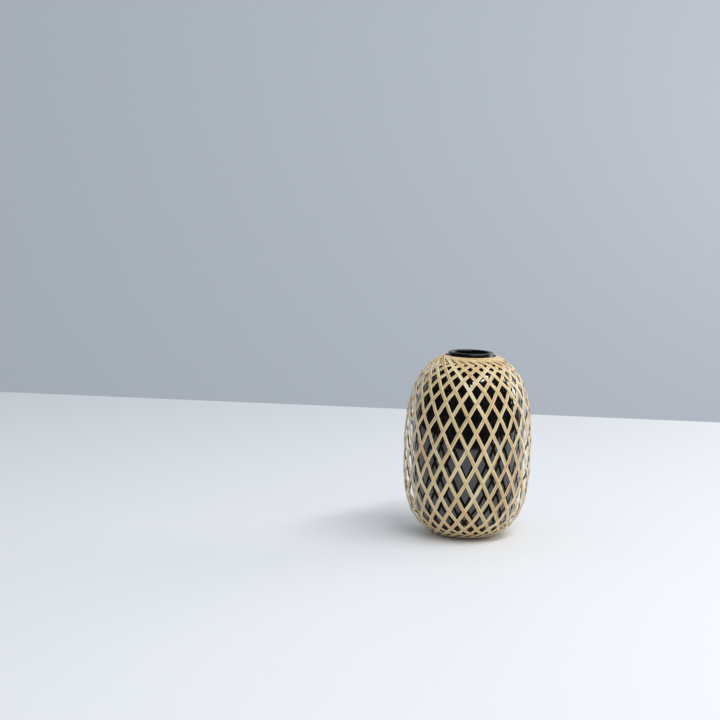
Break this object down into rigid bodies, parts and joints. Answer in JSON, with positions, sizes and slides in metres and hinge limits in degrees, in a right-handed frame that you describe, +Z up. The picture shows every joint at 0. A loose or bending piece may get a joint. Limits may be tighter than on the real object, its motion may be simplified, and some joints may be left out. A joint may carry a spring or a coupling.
{
  "type": "bamboo vase",
  "caption": "Bud vase with a glossy black glazed vessel standing captive in an open, barrel-shaped cage of flat bamboo strips in plain weave.",
  "frame": {"origin": "on the table, under the middle of the vase's foot", "axes": "+Z up along the vase's axis; +X through the point where bamboo_strip_01 turns at the mouth"},
  "size_m": [0.0804, 0.0804, 0.1155],
  "materials": {
    "black_glaze": "gloss",
    "bamboo": "satin"
  },
  "bodies": {
    "root": {"inner_vessel": "black_glaze", "bamboo_strip_01": "bamboo", "bamboo_strip_02": "bamboo", "bamboo_strip_03": "bamboo", "bamboo_strip_04": "bamboo", "bamboo_strip_05": "bamboo", "bamboo_strip_06": "bamboo", "bamboo_strip_07": "bamboo", "bamboo_strip_08": "bamboo", "bamboo_strip_09": "bamboo", "bamboo_strip_10": "bamboo", "bamboo_strip_11": "bamboo", "bamboo_strip_12": "bamboo", "bamboo_strip_13": "bamboo", "bamboo_strip_14": "bamboo", "bamboo_strip_15": "bamboo", "bamboo_strip_16": "bamboo", "bamboo_strip_17": "bamboo", "bamboo_strip_18": "bamboo", "bamboo_strip_19": "bamboo", "bamboo_strip_20": "bamboo", "bamboo_strip_21": "bamboo", "bamboo_strip_22": "bamboo", "bamboo_strip_23": "bamboo", "bamboo_strip_24": "bamboo"}
  },
  "joints": []
}
